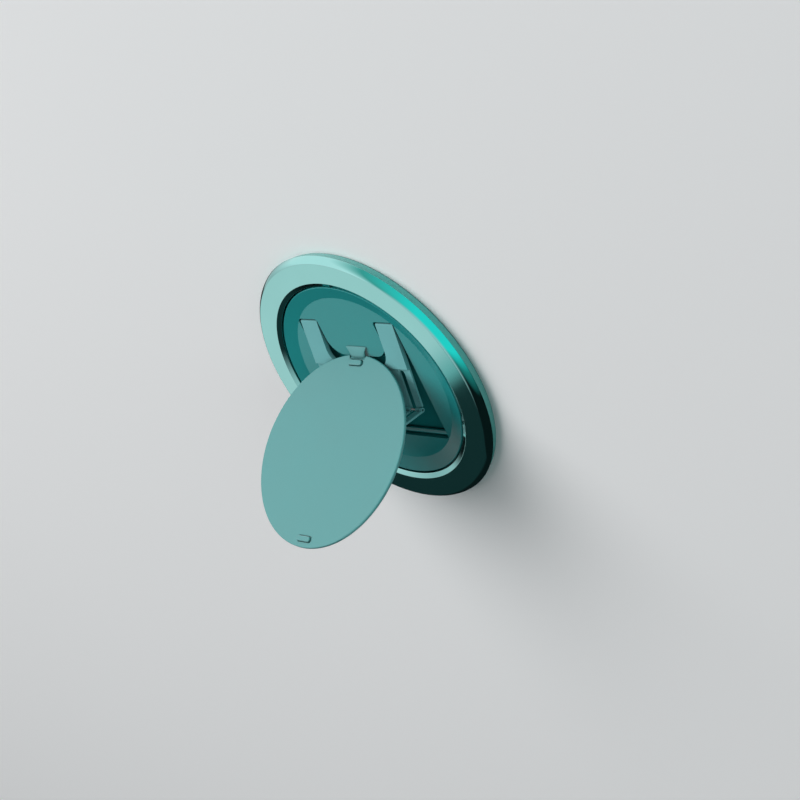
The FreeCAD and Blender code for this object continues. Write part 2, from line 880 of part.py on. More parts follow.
def make_disc_back():
    """The disc's back plate: hooks, hinge ears and a flared pull tab whose end is a foot."""
    body = new_body("disc_back")
    plate = new_sketch(body, "XY_Plane", -s.disc_thickness)
    circle(plate, ZERO, ZERO, back_radius)
    pad(body, plate, s.back_thickness)
    plate_front = s.back_thickness - s.disc_thickness

    # Ears below the plate, on each side of the link's tongue
    barrel(body, ear_outer, pivot_up, -s.pivot_depth)
    webs = new_sketch(body, "YZ_Plane", -ear_outer)
    rectangle(
        webs,
        pivot_up - half_plate,
        pivot_up + half_plate,
        -s.pivot_depth,
        plate_front - s.back_thickness / 2,
    )
    pad(body, webs, ear_outer * 2)
    tongue_gap = new_sketch(body, "XY_Plane", -s.disc_thickness)
    rectangle(
        tongue_gap,
        -ear_inner,
        ear_inner,
        pivot_up - s.plate_thickness,
        pivot_up + s.plate_thickness,
    )
    pocket(body, tongue_gap, s.pivot_depth)
    ear_bores = new_sketch(body, "YZ_Plane", ear_outer + s.pin_seat)
    circle(ear_bores, pivot_up, -s.pivot_depth, bore_radius)
    pocket(body, ear_bores, (ear_outer + s.pin_seat) * 2)

    hooks = new_sketch(body, "XY_Plane", plate_front - s.back_thickness / 2)
    for up in (hook_offset, -hook_offset):
        rectangle(
            hooks,
            -s.hook_length / 2,
            s.hook_length / 2,
            up - s.hook_width / 2,
            up + s.hook_width / 2,
            s.hook_round,
            s.hook_round,
        )
    pad(body, hooks, s.hook_rise - plate_front + s.back_thickness / 2)

    # The tab leans forward, and its sole is parallel to the dish floor when the disc is open
    tab = new_sketch(body, "YZ_Plane", -s.tab_tip_half)
    inside = back_radius - s.tab_fit * 2
    outline(
        tab,
        [
            Corner(inside, -s.disc_thickness),
            Corner(back_radius - s.disc_fit, -s.disc_thickness),
            Corner(sole_back_up, sole_back_out),
            Corner(tab_reach, s.tab_rise),
            Corner(tab_root + s.tab_step_run, s.tab_step_rise),
            Corner(tab_root, -s.tab_root_depth),
            Corner(tab_root, plate_front),
            Corner(inside, plate_front),
        ],
    )
    pad(body, tab, s.tab_tip_half * 2)
    flanks = new_sketch(body, "XY_Plane", s.tab_rise + s.disc_front)
    past_tab = s.tab_tip_half + s.tab_fit
    for side in (1, -1):
        triangle = [
            Corner(s.tab_root_half * side, inside),
            Corner(past_tab * side, inside),
            Corner(s.tab_tip_half * side, tab_reach),
        ]
        outline(flanks, triangle if side > 0 else triangle[::-1])
    pocket(body, flanks, s.tab_rise + s.disc_front + s.disc_thickness)

    keeper_holes = new_sketch(body, "XY_Plane", plate_front)
    for x, y in closure_places(-closure_y):
        circle(keeper_holes, x, y, s.closure_radius + s.closure_fit)
    pocket(body, keeper_holes, s.keeper_thickness)
    place(body, disc_y, disc_z, -s.disc_angle)
    return body


def make_closure_keepers():
    """Steel discs in the back plate, over the closing magnets when the disc is folded."""
    body = new_body("closure_keepers")
    plate_front = s.back_thickness - s.disc_thickness
    sketch = new_sketch(body, "XY_Plane", plate_front - s.keeper_thickness)
    for x, y in closure_places(-closure_y):
        circle(sketch, x, y, s.closure_radius)
    pad(body, sketch, s.keeper_thickness)
    place(body, disc_y, disc_z, -s.disc_angle)
    return body


def check_document():
    """Stops if an object failed, a pocket cut nothing or a shape is not sound."""
    for item in doc.Objects:
        if "Invalid" in item.State or "Error" in item.State:
            raise RuntimeError(f"{item.Name} failed: {item.State}")
        if item.TypeId == "PartDesign::Pocket":
            before = item.BaseFeature.Shape.Volume
            if item.Shape.Volume >= before:
                raise RuntimeError(f"{item.Name} cut nothing")


def write_parts(pieces):
    os.makedirs("parts", exist_ok=True)
    for item in pieces:
        shape = item.Shape
        if shape.isNull() or not shape.isValid():
            raise RuntimeError(f"{item.Label} has no sound shape")
        shape.exportStep(f"parts/{item.Label}.step")
        print(item.Label, "solids", len(shape.Solids), "volume", round(shape.Volume, 3))


pieces = [
    make_grip_pad(),
    make_base_tray(),
    make_magnet_segments(),
    flat_ring("flux_ring", magnet_inner, magnet_outer, flux_bottom, s.flux_thickness),
    make_bezel_ring(),
    *make_glide_rings(),
    make_dish(),
    make_dish_cover(),
    make_cover_screws(),
    make_closure_magnets(),
    *make_arm_pins(),
    make_arm_frame(),
    pin(
        "elbow_pin",
        s.pin_end_inset - arm_half_width,
        arm_half_width - s.pin_end_inset,
        elbow_y,
        elbow_z,
    ),
    make_lift_link(),
    pin("disc_pin", s.pin_end_inset - ear_outer, ear_outer - s.pin_end_inset, tip_y, tip_z),
    make_disc_cover(),
    make_disc_back(),
    make_closure_keepers(),
]
doc.recompute()
check_document()
write_parts(pieces)
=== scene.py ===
import json
import math

import bmesh
import bpy
from mathutils import Matrix, Vector

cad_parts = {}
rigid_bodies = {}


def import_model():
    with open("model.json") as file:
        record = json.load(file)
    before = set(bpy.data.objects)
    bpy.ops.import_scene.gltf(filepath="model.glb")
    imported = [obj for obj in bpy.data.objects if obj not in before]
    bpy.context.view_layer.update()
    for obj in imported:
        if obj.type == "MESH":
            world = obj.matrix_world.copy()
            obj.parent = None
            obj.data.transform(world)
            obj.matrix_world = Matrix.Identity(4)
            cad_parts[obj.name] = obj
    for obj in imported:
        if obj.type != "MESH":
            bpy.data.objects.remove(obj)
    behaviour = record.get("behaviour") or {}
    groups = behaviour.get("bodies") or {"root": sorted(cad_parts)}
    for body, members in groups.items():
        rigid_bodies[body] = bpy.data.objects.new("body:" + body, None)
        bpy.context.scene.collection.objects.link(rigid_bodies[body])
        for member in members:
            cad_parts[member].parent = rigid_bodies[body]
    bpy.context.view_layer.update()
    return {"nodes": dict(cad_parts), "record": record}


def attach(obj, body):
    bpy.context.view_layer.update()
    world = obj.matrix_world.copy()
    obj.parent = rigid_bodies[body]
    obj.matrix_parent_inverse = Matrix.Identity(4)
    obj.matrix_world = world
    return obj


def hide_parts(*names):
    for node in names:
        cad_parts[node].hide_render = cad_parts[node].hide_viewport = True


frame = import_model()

# A magnetic phone grip and stand, open, on a pale surface that stands for a phone's back.
# Named lengths are in millimetres and named angles in degrees, unless a comment says otherwise.

MM = 0.001
BODY_OF = {
    node: body
    for body, nodes in frame["record"]["behaviour"]["bodies"].items()
    for node in nodes
}
LINKAGE = {node for node, body in BODY_OF.items() if body in ("arm", "link", "disc")}
SLOT_OF = {part["node"]: part["material_slot"] for part in frame["record"]["subparts"]}
scene = bpy.context.scene


# Materials

# Shares of a colour that are left where shade is painted: in corners and down in the dish's
# window
CORNER_SHADE, METAL_CORNER_SHADE, DEEP_SHADE = 0.3, 0.15, 0.70
CORNER_REACH, METAL_CORNER_REACH = 1.6, 0.6
# Openness from which, and up to which, that painted shade fades
CORNER_START, CORNER_END, METAL_CORNER_END = 0.1, 0.85, 0.9
# Heights of the small textures
SPARK_GRAIN, FLOW_DEPTH, PEEL_DEPTH, SILICONE_GRAIN = 0.0022, 0.004, 0.003, 0.003
TURNING_DEPTH, SCRATCH_DEPTH = 0.00004, 0.0006
SCRATCH_SCALE = (400, 9000, 9000)


class Nodes:
    """A node tree with short ways to add and join nodes."""

    def __init__(self, tree, place):
        self.tree = tree
        self.place = self.add("ShaderNodeTexCoord").outputs[place]

    def put(self, value, socket):
        """Joins an output to a socket, or sets the socket to a constant."""
        if isinstance(value, bpy.types.NodeSocket):
            self.tree.links.new(value, socket)
        elif socket.type == "RGBA":
            socket.default_value = (*value, 1.0)
        else:
            socket.default_value = value

    def add(self, kind, inputs=None, **settings):
        node = self.tree.nodes.new(kind)
        for name, value in settings.items():
            setattr(node, name, value)
        for name, value in (inputs or {}).items():
            self.put(value, node.inputs[name])
        return node

    def axes(self):
        """The place's X, Y and Z."""
        return self.add("ShaderNodeSeparateXYZ", {"Vector": self.place}).outputs

    def math(self, operation, first, second=0.0):
        node = self.add("ShaderNodeMath", operation=operation)
        for socket, value in zip(node.inputs, (first, second)):
            self.put(value, socket)
        return node.outputs["Value"]

    def remap(self, value, low, high, start=0.3, end=0.7, kind="LINEAR"):
        """Low up to where the value is at start, and high from where it is at end."""
        inputs = {
            "Value": value,
            "From Min": start,
            "From Max": end,
            "To Min": low,
            "To Max": high,
        }
        return self.add("ShaderNodeMapRange", inputs, interpolation_type=kind).outputs["Result"]

    def mix(self, factor, first, second):
        node = self.add("ShaderNodeMix", {"Factor": factor}, data_type="RGBA")
        sockets = [socket for socket in node.inputs if socket.type == "RGBA"]
        for socket, value in zip(sockets, (first, second)):
            self.put(value, socket)
        return next(socket for socket in node.outputs if socket.type == "RGBA")


class Finish(Nodes):
    """A material, with the parts that several finishes share."""

    def __init__(self, name):
        self.material = bpy.data.materials.new(name)
        self.material.use_nodes = True
        super().__init__(self.material.node_tree, "Object")
        self.shader = self.tree.nodes["Principled BSDF"]

    def dress(self, inputs):
        """Sets or joins inputs of the shader."""
        for name, value in inputs.items():
            self.put(value, self.shader.inputs[name])

    def noise(self, scale, detail=2.0, rough=0.5, place=None):
        inputs = {
            "Vector": place or self.place,
            "Scale": scale,
            "Detail": detail,
            "Roughness": rough,
        }
        return self.add("ShaderNodeTexNoise", inputs).outputs["Fac"]

    def blend(self, first, second, share):
        """A share of the first value and the rest of the second."""
        part = self.math("MULTIPLY", first, share)
        return self.math("ADD", part, self.math("MULTIPLY", second, 1 - share))

    def clouded(self, clouds, colour, low, high):
        """The colour, from a low to a high share of it with the clouds."""
        return self.mix(self.remap(clouds, 0, 1), shade(colour, low), shade(colour, high))

    def wear(self, scale, low, high):
        """How worn the small rounded edges are, and 0 elsewhere."""
        edge = self.add("ShaderNodeAttribute", attribute_name="edge").outputs["Fac"]
        return self.math("MULTIPLY", edge, self.remap(self.noise(scale, detail=3), low, high))

    def painted_corner_shade(self, tint, dark, reach, end=CORNER_END):
        """The tint with painted shade, darkened in narrow gaps and corners where little light
        reaches.
        """
        node = self.add("ShaderNodeAmbientOcclusion", {"Distance": reach * MM}, samples=8)
        return self.mix(self.remap(node.outputs["AO"], 0, 1, CORNER_START, end), dark, tint)

    def bump(self, *layers):
        """Stacks height layers, each a height output with its depth in millimetres."""
        inputs = {"Strength": 1.0}
        for height, depth in layers:
            inputs |= {"Height": height, "Distance": depth * MM}
            inputs["Normal"] = self.add("ShaderNodeBump", inputs).outputs["Normal"]
        return inputs["Normal"]


def shade(colour, factor):
    return tuple(min(1.0, channel * factor) for channel in colour)


def paler(colour, share, white):
    """A share of the colour with some white."""
    return tuple(channel * share + white for channel in colour)


def moulded(
    name, colour, roughness, gloss, reach=CORNER_REACH, grain=SPARK_GRAIN, window_shade_heights=None
):
    """Satin moulded plastic: fine spark texture, faint flow clouding, paler worn edges and
    painted shade in gaps and corners.

    The pair of heights sets painted shade down in the dish's window: up to the first height the
    colour is painted dark and the sheen dimmed, as shade would, and from the second on it is as
    elsewhere.
    """
    n = Finish(name)
    clouds = n.noise(scale=90, detail=3)
    fine = n.noise(scale=9000, rough=0.6)
    speck = n.noise(scale=2600)
    tint = n.clouded(clouds, colour, low=0.965, high=1.035)
    tint = n.mix(n.remap(speck, 0, 1, start=0.35, end=0.65), tint, colour)
    worn = n.mix(n.wear(scale=420, low=0.15, high=0.5), tint, paler(colour, 0.75, 0.12))
    n.dress({"Specular IOR Level": gloss})
    # Painted shade down in the dish's window: darker colour and dimmer sheen below the given
    # heights, carried on in worn along with the edge wear
    if window_shade_heights:
        level = n.remap(n.axes()["Z"], 0, 1, window_shade_heights[0] * MM, window_shade_heights[1] * MM)
        worn = n.mix(level, shade(colour, DEEP_SHADE), worn)
        n.dress({"Specular IOR Level": n.math("MULTIPLY", level, gloss)})
    mottle = n.blend(clouds, speck, share=0.5)
    n.dress(
        {
            # Painted shade darkens the colour in gaps and corners
            "Base Color": n.painted_corner_shade(worn, shade(colour, CORNER_SHADE), reach),
            "Roughness": n.remap(mottle, roughness - 0.05, roughness + 0.05),
            "Normal": n.bump((fine, grain), (clouds, FLOW_DEPTH)),
        }
    )
    return n.material


def lacquered(name, colour, roughness, gloss):
    """Stamped steel with a satin lacquer: slight orange peel, thin paler edges and painted
    shade in gaps and corners.
    """
    n = Finish(name)
    clouds = n.noise(scale=120, detail=3)
    tint = n.clouded(clouds, colour, low=0.96, high=1.04)
    worn = n.mix(n.wear(scale=500, low=0.1, high=0.55), tint, paler(colour, 0.7, 0.15))
    n.dress(
        {
            # Painted shade darkens the colour in gaps and corners
            "Base Color": n.painted_corner_shade(worn, shade(colour, CORNER_SHADE), CORNER_REACH),
            "Roughness": n.remap(clouds, roughness - 0.04, roughness + 0.04),
            "Specular IOR Level": gloss,
            "Normal": n.bump((n.noise(scale=1500), PEEL_DEPTH)),
        }
    )
    return n.material


def anodised(name, colour, roughness):
    """Spun and anodised aluminium: a satin sheen, hair-fine turning lines and bright edges."""
    n = Finish(name)
    axes = n.axes()
    squares = [n.math("POWER", axes[axis], 2.0) for axis in "XY"]
    radius = n.math("SQRT", n.math("ADD", *squares))
    turned = {"W": radius, "Scale": 14000, "Detail": 3}
    lines = n.add("ShaderNodeTexNoise", noise_dimensions="1D", inputs=turned).outputs["Fac"]
    clouds = n.noise(scale=60, detail=3)
    tint = n.clouded(clouds, colour, low=0.97, high=1.03)
    satin = n.blend(lines, clouds, share=0.4)
    n.dress(
        {
            "Base Color": n.mix(
                n.wear(scale=350, low=0.05, high=0.3), tint, paler(colour, 0.6, 0.36)
            ),
            "Metallic": 1.0,
            "Roughness": n.remap(satin, roughness - 0.02, roughness + 0.02),
            "Normal": n.bump((lines, TURNING_DEPTH)),
        }
    )
    return n.material


def silicone(name, colour):
    """Matt silicone with a dusty bloom."""
    n = Finish(name)
    dust = n.noise(scale=700, detail=4)
    tint = n.clouded(n.noise(scale=70, detail=3), colour, low=0.93, high=1.06)
    dusty = n.remap(dust, 0, 0.35, start=0.5, end=0.8)
    n.dress(
        {
            "Base Color": n.mix(dusty, tint, paler(colour, 0.8, 0.1)),
            "Roughness": n.remap(dust, 0.58, 0.72),
            "Normal": n.bump((n.noise(scale=5000), SILICONE_GRAIN)),
        }
    )
    return n.material


def bright_metal(name, colour, roughness):
    """Plated or drawn metal with fine scratches along X, faint stains and painted shade in gaps
    and corners.
    """
    n = Finish(name)
    stretch = n.add("ShaderNodeMapping", {"Vector": n.place, "Scale": SCRATCH_SCALE})
    scratch = n.noise(scale=1.0, detail=3, place=stretch.outputs["Vector"])
    stained = n.clouded(n.noise(scale=260, detail=3), colour, low=0.88, high=1.0)
    # The dark colour of the painted shade in gaps and corners
    dark = shade(colour, METAL_CORNER_SHADE)
    n.dress(
        {
            "Base Color": n.painted_corner_shade(stained, dark, METAL_CORNER_REACH, METAL_CORNER_END),
            "Metallic": 1.0,
            "Roughness": n.remap(scratch, roughness - 0.06, roughness + 0.06),
            "Normal": n.bump((scratch, SCRATCH_DEPTH)),
        }
    )
    return n.material


MATERIALS = {
    "pad_silicone": silicone("pad_silicone", (0.10, 0.36, 0.34)),
    "shell_plastic": moulded(
        "shell_plastic", (0.120, 0.450, 0.415), roughness=0.32, gloss=0.9, reach=0.3
    ),
    "dish_plastic": moulded(
        "dish_plastic",
        (0.022, 0.308, 0.310),
        roughness=0.09,
        gloss=0.28,
        reach=0.6,
        grain=0.0007,
        # Painted shade in the dish's window, below these heights
        window_shade_heights=(1.2, 1.98),
    ),
    "disc_plastic": moulded("disc_plastic", (0.100, 0.340, 0.340), roughness=0.42, gloss=0.9),
    "arm_metal": lacquered("arm_metal", (0.185, 0.480, 0.490), roughness=0.42, gloss=0.06),
    "bezel_metal": anodised("bezel_metal", (0.36, 0.72, 0.70), roughness=0.035),
    "glide_plastic": moulded("glide_plastic", (0.70, 0.72, 0.70), roughness=0.30, gloss=0.5),
    "magnet_nickel": bright_metal("magnet_nickel", (0.62, 0.60, 0.55), roughness=0.25),
    "spring_steel": bright_metal("spring_steel", (0.16, 0.17, 0.17), roughness=0.50),
}


# Meshes

# Points closer than this are one, and faces flatter than this are joined
WELD, FLAT_ANGLE = 0.002, 0.4
# Edges sharper than these are rounded, or drawn crisp
SHARP_ANGLE, SMOOTH_ANGLE, TAB_SMOOTH_ANGLE = 28.0, 32.0, 40.0
FLAT_WEIGHT = 60


def add_piece(name, mesh, node):
    """A new piece that stands for a CAD node, on that node's body and with its finish."""
    mesh.materials.clear()
    mesh.materials.append(MATERIALS[SLOT_OF[node]])
    piece = bpy.data.objects.new(name, mesh)
    scene.collection.objects.link(piece)
    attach(piece, BODY_OF[node])
    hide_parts(node)
    return piece


def finished_mesh(bm, name, values=None):
    """The mesh, with 1 in values for each face of a small rounded edge and 0 for the others."""
    mesh = bpy.data.meshes.new(name)
    bm.to_mesh(mesh)
    bm.free()
    layer = mesh.attributes.new("edge", "FLOAT", "FACE")
    layer.data.foreach_set("value", values or [0.0] * len(mesh.polygons))
    return mesh


def smooth(piece, angle=SMOOTH_ANGLE):
    mesh = piece.data
    mesh.shade_smooth()
    mesh.set_sharp_from_angle(angle=math.radians(angle))
    weighted = piece.modifiers.new("flat_faces", "WEIGHTED_NORMAL")
    weighted.keep_sharp = True
    weighted.weight = FLAT_WEIGHT


def bridge(bm, ring, after):
    """A band of faces between two rings of as many points."""
    for k in range(len(ring)):
        nxt = (k + 1) % len(ring)
        bm.faces.new((ring[k], ring[nxt], after[nxt], after[k]))


def round_edges(bm, edges, width, steps):
    """Rounds the edges and gives the faces that this makes."""
    made = bmesh.ops.bevel(
        bm,
        geom=edges,
        offset=width * MM,
        offset_type="OFFSET",
        segments=steps,
        profile=0.5,
        affect="EDGES",
        clamp_overlap=True,
    )
    return set(made["faces"])


def sharp_edges(bm):
    return [
        edge
        for edge in bm.edges
        if len(edge.link_faces) == 2 and edge.calc_face_angle(0.0) > math.radians(SHARP_ANGLE)
    ]


# Copies of the CAD shapes with eased edges

# Widths of the rounds on their edges
DISH_ROUND, DISH_COVER_ROUND, ARM_ROUND, LINK_ROUND = 0.08, 0.06, 0.09, 0.07
DISC_COVER_ROUND, DISC_BACK_ROUND, HOOK_ROUND = 0.09, 0.07, 0.2
SMALL_ROUND, GLIDE_ROUND = 0.05, 0.02
EDGE_STEPS, HOOK_STEPS, GLIDE_STEPS = 2, 5, 1
# The circle where the dish's wall meets its floor, and how near to it a point has to be
DISH_FLOOR_RADIUS, DISH_FLOOR_LEVEL, NEAR = 19.13, 2.02, 0.02
# The open disc: its middle, the way it faces, and the way down along it
DISC_TILT = math.radians(55.2)
DISC_MIDDLE = Vector((0, -4.7866, 18.4496))
DISC_FACING = Vector((0, math.sin(DISC_TILT), math.cos(DISC_TILT)))
DISC_ALONG = Vector((0, math.cos(DISC_TILT), -math.sin(DISC_TILT)))
# The pull tab, as distances from the disc's middle and heights over its face: where the CAD
# tab begins and the stump that is left of it, then the flared tab's front, back and half width
TAB_START, TAB_LOWEST, HOOK_LOWEST = 18.9, -0.3, 0.02
TAB_STUMP, STUMP_SHARE = (19.3, -0.3), 0.8
TAB_ROOT, TAB_BACK, TAB_LIP, TAB_TIP = 18.75, 19.7, 20.35, 20.65
TAB_FOOT, TAB_RISE = -0.15, 1.15
TAB_ROOT_HALF, TAB_TIP_HALF = 2.05, 2.9
# Powers that bend its front, its sides and its round section, and the round of its lip
TAB_BEND, TAB_FLARE, TAB_SQUARENESS = 0.6, 1.6, 2.7
TAB_LIP_ROUND, TAB_LIP_STEPS = 0.06, 3
SMALL_PIECES = (
    "flux_ring",
    "magnet_segments",
    "closure_magnets",
    "closure_keepers",
    "arm_pin_left",
    "arm_pin_right",
    "elbow_pin",
    "disc_pin",
    "cover_screws",
)


def eased_copy(node, width, steps=EDGE_STEPS, proud=None, crease=None, settle=None):
    """A copy of a CAD node's shape with its sharp edges rounded by a small width.

    Edges between the vertices that proud() picks get the wider round of the hooks, edges that
    crease() picks stay crisp, and settle() may move vertices first.
    """
    bm = bmesh.new()
    bm.from_mesh(frame["nodes"][node].data)
    bmesh.ops.remove_doubles(bm, verts=bm.verts, dist=WELD * MM)
    bmesh.ops.dissolve_limit(
        bm, angle_limit=math.radians(FLAT_ANGLE), verts=bm.verts[:], edges=bm.edges[:]
    )
    if settle:
        for vertex in bm.verts:
            settle(vertex)
    marked = bm.faces.layers.int.new("rounded")
    if proud:
        chosen = [edge for edge in sharp_edges(bm) if all(map(proud, edge.verts))]
        for face in round_edges(bm, chosen, HOOK_ROUND, HOOK_STEPS):
            face[marked] = 1
    plain = [
        edge for edge in sharp_edges(bm) if not any(face[marked] for face in edge.link_faces)
    ]
    for face in round_edges(bm, plain, width, steps):
        face[marked] = 1
    bm.faces.ensure_lookup_table()
    values = [float(face[marked]) for face in bm.faces]
    mesh = finished_mesh(bm, node + "_eased", values)
    smooth(add_piece(node + "_piece", mesh, node))
    if crease:
        for edge in mesh.edges:
            if all(crease(mesh.vertices[index].co) for index in edge.vertices):
                edge.use_edge_sharp = True


def at_floor_edge(place):
    """True on the circle where the dish's wall meets its floor."""
    off_radius = abs(place.xy.length / MM - DISH_FLOOR_RADIUS)
    off_level = abs(place.z / MM - DISH_FLOOR_LEVEL)
    return off_radius < NEAR and off_level < NEAR


def disc_place(out, rise):
    """The place so far out along the disc and so high over its face."""
    return DISC_MIDDLE + DISC_ALONG * out + DISC_FACING * rise


def on_tab(vertex):
    """True for the part of the pull tab that stands proud of the disc's rim."""
    offset = vertex.co / MM - DISC_MIDDLE
    return offset.dot(DISC_FACING) > TAB_LOWEST and offset.length > TAB_START


def on_hook(vertex):
    """True for the parts of the hooks that stand proud of the disc's face."""
    offset = vertex.co / MM - DISC_MIDDLE
    return offset.dot(DISC_FACING) > HOOK_LOWEST and offset.length < TAB_START


def lower_tab(vertex):
    """Takes the plain tab down to a stump in its notch, which the flared tab stands on."""
    if on_tab(vertex):
        place = disc_place(*TAB_STUMP)
        vertex.co = Vector((vertex.co.x * STUMP_SHARE, place.y * MM, place.z * MM))


def between(start, end, share):
    return start + (end - start) * share


def squared(value):
    """A sine or cosine, bent to make a rounded square of a circle."""
    return math.copysign(abs(value) ** (2 / TAB_SQUARENESS), value)


def build_tab(levels=18, points=64):
    """The pull tab: a neck that flares into a thin, wide lip."""
    bm = bmesh.new()
    rings = []
    for level in range(levels + 1):
        t = level / levels
        front_rise = between(TAB_FOOT, TAB_RISE, t**TAB_BEND)
        front = Vector((between(TAB_ROOT, TAB_LIP, t), front_rise))
        back = Vector((between(TAB_BACK, TAB_TIP, t), between(TAB_FOOT, TAB_RISE, t)))
        half = between(TAB_ROOT_HALF, TAB_TIP_HALF, t**TAB_FLARE)
        ring = []
        for k in range(points):
            turn = 2 * math.pi * k / points
            side, depth = squared(math.cos(turn)), squared(math.sin(turn))
            place = disc_place(*((front + back) / 2 + (front - back) / 2 * depth))
            ring.append(bm.verts.new(Vector((half * side, place.y, place.z)) * MM))
        rings.append(ring)
    for ring, after in zip(rings, rings[1:]):
        bridge(bm, ring, after)
    bm.faces.new(rings[0])
    lip = bm.faces.new(rings[-1])
    bmesh.ops.recalc_face_normals(bm, faces=bm.faces)
    round_edges(bm, list(lip.edges), TAB_LIP_ROUND, TAB_LIP_STEPS)
    mesh = finished_mesh(bm, "pull_tab")
    smooth(add_piece("pull_tab", mesh, "disc_back"), TAB_SMOOTH_ANGLE)


def build_shapes():
    eased_copy("dish", DISH_ROUND, crease=at_floor_edge)
    eased_copy("dish_cover", DISH_COVER_ROUND)
    eased_copy("arm_frame", ARM_ROUND)
    eased_copy("lift_link", LINK_ROUND)
    eased_copy("disc_cover", DISC_COVER_ROUND)
    eased_copy("disc_back", DISC_BACK_ROUND, proud=on_hook, settle=lower_tab)
    build_tab()
    for node in SMALL_PIECES:
        eased_copy(node, SMALL_ROUND)
    for node in ("lower_glide_ring", "upper_glide_ring"):
        eased_copy(node, GLIDE_ROUND, steps=GLIDE_STEPS)
    for piece in scene.objects:
        # The ring's polished top mirrors the studio and not the linkage over it
        if piece.name.removesuffix("_piece") in LINKAGE | {"pull_tab"}:
            piece.visible_glossy = False


# Turned pieces

# Radii and heights
RING_OUTER, RING_EDGE, RING_OPENING, RING_INNER = 28.75, 27.75, 23.4, 22.5
RING_SEAT, RING_TOP, RING_CROWN, LIP_FOOT, SKIRT_FOOT = 1.85, 3.35, 3.43, 2.98, 1.44
RING_BULGE, RING_UNDER, RING_WALL, SKIRT_OUTER = 2.3, 2.6, 28.0, 23.1
TRAY_OUTER, TRAY_HOLE, TRAY_FOOT, TRAY_FLOOR = 28.3, 20.7, 0.35, 0.75
SPIGOT_OUTER, SPIGOT_INNER, SPIGOT_TOP = 27.9, 27.6, 2.4
RIB_OUTER, RIB_INNER, RIB_TOP = 23.7, 23.4, 1.31
PAD_OUTER, PAD_INNER, PAD_FOOT = 28.05, 20.95, 0.0
# Rounds of their corners
SQUARE = 0
RING_SEAT_ROUND, RING_EDGE_ROUND, RING_OPENING_ROUND, LIP_ROUND = 0.06, 0.2, 0.12, 0.1
TRAY_FOOT_ROUND, TRAY_SEAT_ROUND, TRAY_HOLE_ROUND = 0.12, 0.08, 0.05
PAD_OUTER_ROUND, PAD_INNER_ROUND, PAD_TOP_ROUND = 0.12, 0.08, 0.05


def rounded_profile(corners, steps=8):
    """The points of a closed profile of corners, each a radius, a height and its round.

    With each point goes whether a small rounded edge follows it.
    """
    points = []
    for index, (r, z, round_radius) in enumerate(corners):
        here = Vector((r, z))
        if round_radius == SQUARE:
            points.append((here, False))
            continue
        before = Vector(corners[index - 1][:2])
        after = Vector(corners[(index + 1) % len(corners)][:2])
        back = (before - here).normalized()
        ahead = (after - here).normalized()
        half = back.angle(ahead) / 2
        reach = round_radius / math.tan(half)
        centre = here + (back + ahead).normalized() * (round_radius / math.sin(half))
        start = here + back * reach - centre
        end = here + ahead * reach - centre
        turn = start.angle_signed(end)
        for step in range(steps + 1):
            rotation = Matrix.Rotation(-turn * step / steps, 2)
            points.append((centre + rotation @ start, step < steps))
    return points


def lathe(node, corners, segments=256):
    """A turned ring that stands for a CAD node."""
    profile = rounded_profile(corners)
    turns = [2 * math.pi * k / segments for k in range(segments)]
    bm = bmesh.new()
    loops = []
    for point, _ in profile:
        r, z = point.x * MM, point.y * MM
        loops.append([bm.verts.new((r * math.cos(t), r * math.sin(t), z)) for t in turns])
    values = []
    for index, (_, rounded) in enumerate(profile):
        bridge(bm, loops[index], loops[(index + 1) % len(loops)])
        values += [float(rounded)] * segments
    bm.normal_update()
    smooth(add_piece(node + "_piece", finished_mesh(bm, node + "_turned", values), node))


def bevel_curve(start, end, radius, steps=16):
    """Corners along the bezel's bulging side, between its two ends."""
    start, end = Vector(start), Vector(end)
    chord = end - start
    left = Vector((-chord.y, chord.x)).normalized()
    centre = (start + end) / 2 + left * math.sqrt(radius**2 - chord.length_squared / 4)
    first = start - centre
    turn = first.angle_signed(end - centre)
    return [
        (*(centre + Matrix.Rotation(-turn * k / steps, 2) @ first), SQUARE)
        for k in range(1, steps)
    ]


def build_rings():
    lathe(
        "bezel_ring",
        [
            (RING_INNER, SKIRT_FOOT, SQUARE),
            (SKIRT_OUTER, SKIRT_FOOT, SQUARE),
            (SKIRT_OUTER, RING_UNDER, SQUARE),
            (RING_WALL, RING_UNDER, SQUARE),
            (RING_WALL, RING_SEAT, SQUARE),
            (RING_OUTER, RING_SEAT, RING_SEAT_ROUND),
            *bevel_curve((RING_OUTER, RING_SEAT), (RING_EDGE, RING_TOP), RING_BULGE),
            (RING_EDGE, RING_TOP, RING_EDGE_ROUND),
            (RING_OPENING, RING_CROWN, RING_OPENING_ROUND),
            (RING_INNER, LIP_FOOT, LIP_ROUND),
        ],
    )
    lathe(
        "base_tray",
        [
            (TRAY_HOLE, TRAY_FOOT, TRAY_HOLE_ROUND),
            (TRAY_OUTER, TRAY_FOOT, TRAY_FOOT_ROUND),
            (TRAY_OUTER, RING_SEAT, TRAY_SEAT_ROUND),
            (SPIGOT_OUTER, RING_SEAT, SQUARE),
            (SPIGOT_OUTER, SPIGOT_TOP, SQUARE),
            (SPIGOT_INNER, SPIGOT_TOP, SQUARE),
            (SPIGOT_INNER, TRAY_FLOOR, SQUARE),
            (RIB_OUTER, TRAY_FLOOR, SQUARE),
            (RIB_OUTER, RIB_TOP, SQUARE),
            (RIB_INNER, RIB_TOP, SQUARE),
            (RIB_INNER, TRAY_FLOOR, SQUARE),
            (TRAY_HOLE, TRAY_FLOOR, TRAY_HOLE_ROUND),
        ],
    )
    lathe(
        "grip_pad",
        [
            (PAD_INNER, PAD_FOOT, PAD_INNER_ROUND),
            (PAD_OUTER, PAD_FOOT, PAD_OUTER_ROUND),
            (PAD_OUTER, TRAY_FOOT, PAD_TOP_ROUND),
            (PAD_INNER, TRAY_FOOT, PAD_TOP_ROUND),
        ],
    )


# Stage

